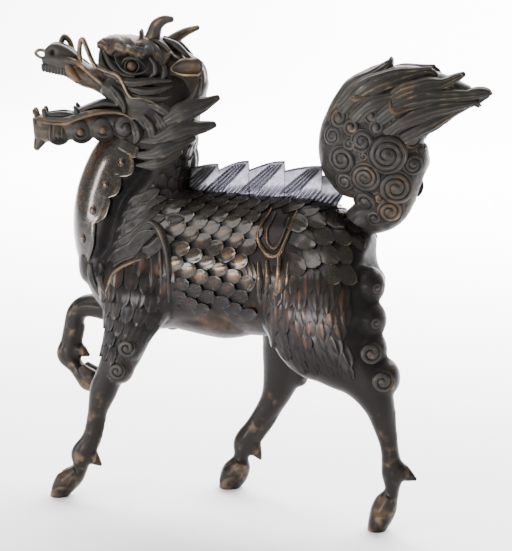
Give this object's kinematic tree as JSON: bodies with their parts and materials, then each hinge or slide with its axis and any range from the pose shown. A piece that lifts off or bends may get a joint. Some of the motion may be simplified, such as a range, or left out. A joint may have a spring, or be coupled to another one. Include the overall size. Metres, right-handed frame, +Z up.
{
  "type": "qilin figure",
  "caption": "Cast bronze qilin in mid-stride with a raised foreleg, open jaws, swept horns, scaled hide, toothed dorsal fin and an upswept tail of curls.",
  "frame": {"origin": "bottom centre of the figure's bounding box, on the floor under the belly", "axes": "+Z up, the beast faces -X, its left side is -Y"},
  "size_m": [0.3746, 0.1018, 0.3992],
  "materials": {
    "bronze": "dark brown cast bronze patina, worn to golden brown on the raised edges"
  },
  "bodies": {
    "root": {"qilin_figure": "bronze"}
  },
  "joints": []
}
